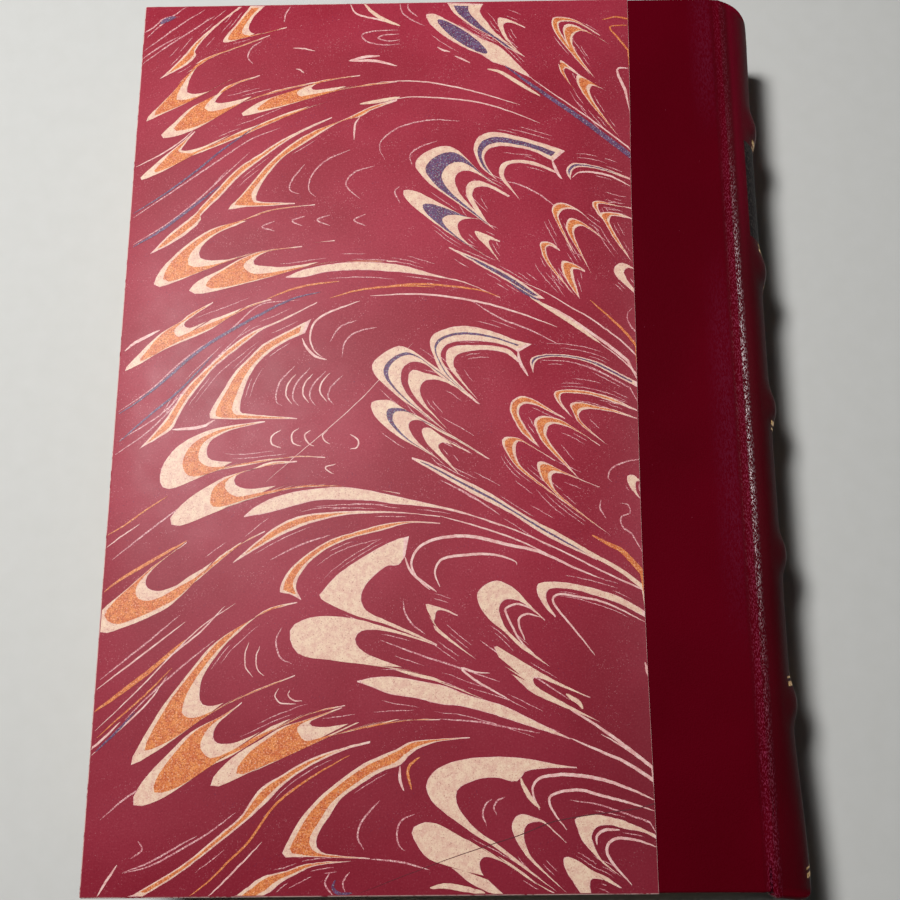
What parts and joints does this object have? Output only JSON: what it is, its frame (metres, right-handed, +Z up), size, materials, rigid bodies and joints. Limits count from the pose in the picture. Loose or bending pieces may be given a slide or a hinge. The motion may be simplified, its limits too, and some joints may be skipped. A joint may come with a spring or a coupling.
{
  "type": "antique leather book",
  "caption": "Quarter-leather book with rounded back, raised bands, gilt rules and marbled paper sides; both covers open on their joints",
  "frame": {"origin": "middle of the bounding box in plan, on the outer face of the front cover, which lies on the table", "axes": "+X from the fore edge to the spine, +Y from tail to head, +Z up from the front cover to the back cover"},
  "size_m": [0.1768, 0.2366, 0.0348],
  "materials": {
    "leaves": "uncoated, edges trimmed smooth",
    "endpaper": "plain uncoated paper",
    "marbled_paper": "marbled crimson ground, matt with a faint sheen",
    "cream_ink": "marbling colour, speckled, matt",
    "orange_ink": "marbling colour, speckled, matt",
    "blue_ink": "marbling colour, matt",
    "leather": "smooth burgundy goat leather, satin",
    "board": "dense grey pasteboard",
    "mull": "open-woven starched cotton",
    "lining": "brown lining paper",
    "band": "laminated strip",
    "silk": "wound silk thread in two colours",
    "gilt": "gold leaf, slightly worn"
  },
  "bodies": {
    "book_block": {"text_block": "leaves", "head_endband": "silk", "tail_endband": "silk", "spine_mull": "mull", "spine_lining": "lining", "raised_band_1": "band", "raised_band_2": "band", "raised_band_3": "band", "raised_band_4": "band", "raised_band_5": "band", "spine_leather": "leather", "gilt_rules": "gilt", "back_flyleaf": "endpaper", "front_flyleaf": "endpaper"},
    "back_cover": {"back_board": "board", "back_leather": "leather", "back_marbled_paper": "marbled_paper", "back_pastedown": "endpaper", "back_cream_ink": "cream_ink", "back_orange_ink": "orange_ink", "back_blue_ink": "blue_ink"},
    "front_cover": {"front_board": "board", "front_leather": "leather", "front_marbled_paper": "marbled_paper", "front_pastedown": "endpaper", "front_cream_ink": "cream_ink", "front_orange_ink": "orange_ink", "front_blue_ink": "blue_ink"}
  },
  "joints": [
    {"name": "back_cover_hinge", "type": "hinge", "parent": "book_block", "child": "back_cover", "pos_m": [0.07335, 0, 0.03495], "axis": [0, 1, 0], "range_deg": [0, 180]},
    {"name": "front_cover_hinge", "type": "hinge", "parent": "book_block", "child": "front_cover", "pos_m": [0.07335, 0, -0.00015], "axis": [0, -1, 0], "range_deg": [0, 180]}
  ]
}
